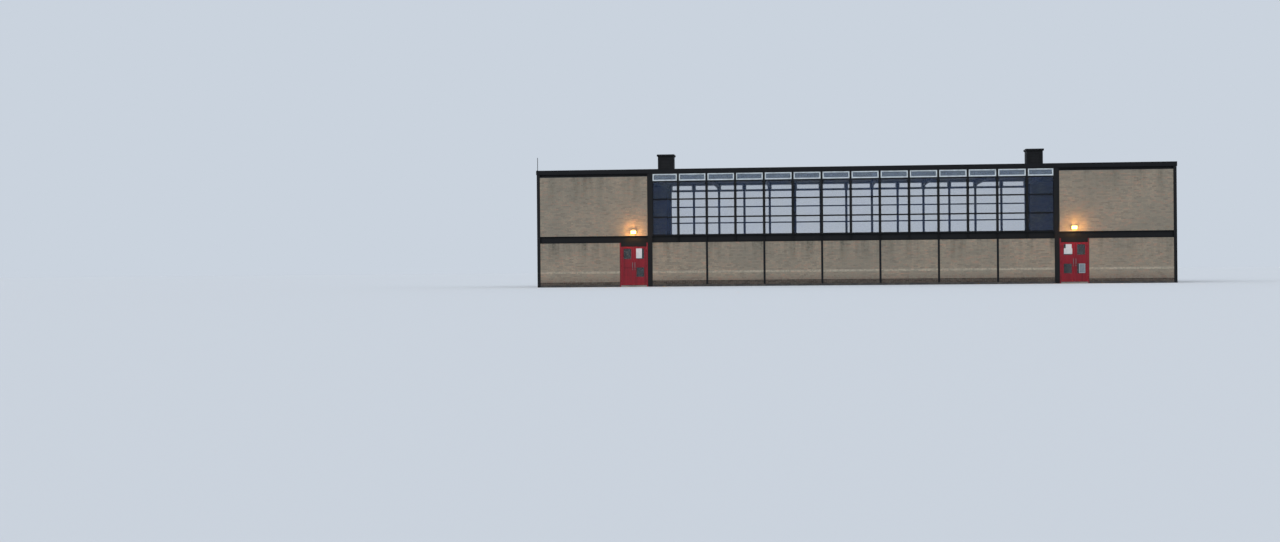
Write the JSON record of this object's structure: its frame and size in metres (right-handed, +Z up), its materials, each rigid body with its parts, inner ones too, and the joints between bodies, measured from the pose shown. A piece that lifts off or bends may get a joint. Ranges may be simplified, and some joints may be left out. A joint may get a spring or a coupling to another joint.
{
  "type": "school building",
  "caption": "School hall block with an exposed dark steel frame, buff brick panels, a long band of windows, a flat roof with vent stacks and red double doors that swing outwards.",
  "frame": {"origin": "on the ground, at the middle of the plan", "axes": "+Z up, front towards -Y, +X to the right when facing the front"},
  "size_m": [33.578, 12.3683, 7.447],
  "materials": {
    "frame_steel": "near-black paint on rolled steel, satin, weathered",
    "roof_edge_steel": "near-black paint on the roof channels, satin",
    "buff_brick": "buff facing brick in cement mortar, matt, blotched",
    "concrete": "trowelled concrete, matt",
    "kerb": "concrete kerb under dark bituminous paint",
    "roof_felt": "mineral roofing felt, matt",
    "hopper_paint": "pale grey-white paint on steel window frames",
    "window_glass": "clear drawn sheet glass",
    "door_red": "dark red gloss paint on timber",
    "handle_steel": "satin stainless steel",
    "stack_sheet": "dark painted sheet",
    "lamp_metal": "dark grey cast housing",
    "lamp_lens": "ribbed diffuser, lit from inside"
  },
  "bodies": {
    "building": {"back_end_brick_panels": "buff_brick", "back_hall_brick_panels": "buff_brick", "back_hopper_frames": "hopper_paint", "back_mid_beams": "frame_steel", "back_stanchions": "frame_steel", "back_window_frame": "frame_steel", "back_window_panes": "window_glass", "corner_columns": "frame_steel", "corner_rod": "frame_steel", "door_heads": "frame_steel", "door_hinge_barrels": "frame_steel", "door_jambs": "door_red", "door_thresholds": "frame_steel", "eaves_beams": "frame_steel", "floor_slab": "concrete", "front_end_brick_panels": "buff_brick", "front_hall_brick_panels": "buff_brick", "front_hopper_frames": "hopper_paint", "front_mid_beams": "frame_steel", "front_stanchions": "frame_steel", "front_window_frame": "frame_steel", "front_window_panes": "window_glass", "gable_brick_panels": "buff_brick", "gable_columns": "frame_steel", "gable_eaves_beams": "frame_steel", "gable_kerbs": "kerb", "gable_mid_beams": "frame_steel", "gable_roof_channels": "roof_edge_steel", "hall_columns": "frame_steel", "long_kerbs": "kerb", "long_roof_channels": "roof_edge_steel", "roof_beams": "frame_steel", "roof_deck": "roof_felt", "roof_stack_caps": "stack_sheet", "roof_stacks": "stack_sheet", "wall_lamp_housings": "lamp_metal", "wall_lamp_lenses": "lamp_lens"},
    "left_door_left": {"left_door_left_leaf": "door_red", "left_door_left_glass": "window_glass", "left_door_left_handle": "handle_steel"},
    "left_door_right": {"left_door_right_leaf": "door_red", "left_door_right_glass": "window_glass", "left_door_right_handle": "handle_steel"},
    "right_door_left": {"right_door_left_leaf": "door_red", "right_door_left_glass": "window_glass", "right_door_left_handle": "handle_steel"},
    "right_door_right": {"right_door_right_leaf": "door_red", "right_door_right_glass": "window_glass", "right_door_right_handle": "handle_steel"}
  },
  "joints": [
    {"name": "left_door_left_hinge", "type": "hinge", "parent": "building", "child": "left_door_left", "pos_m": [-12.2325, -6.106, 1.12], "axis": [0, 0, -1], "range_deg": [0, 95]},
    {"name": "left_door_right_hinge", "type": "hinge", "parent": "building", "child": "left_door_right", "pos_m": [-10.8575, -6.106, 1.12], "axis": [0, 0, 1], "range_deg": [0, 95]},
    {"name": "right_door_left_hinge", "type": "hinge", "parent": "building", "child": "right_door_left", "pos_m": [10.8575, -6.106, 1.12], "axis": [0, 0, -1], "range_deg": [0, 95]},
    {"name": "right_door_right_hinge", "type": "hinge", "parent": "building", "child": "right_door_right", "pos_m": [12.2325, -6.106, 1.12], "axis": [0, 0, 1], "range_deg": [0, 95]}
  ]
}
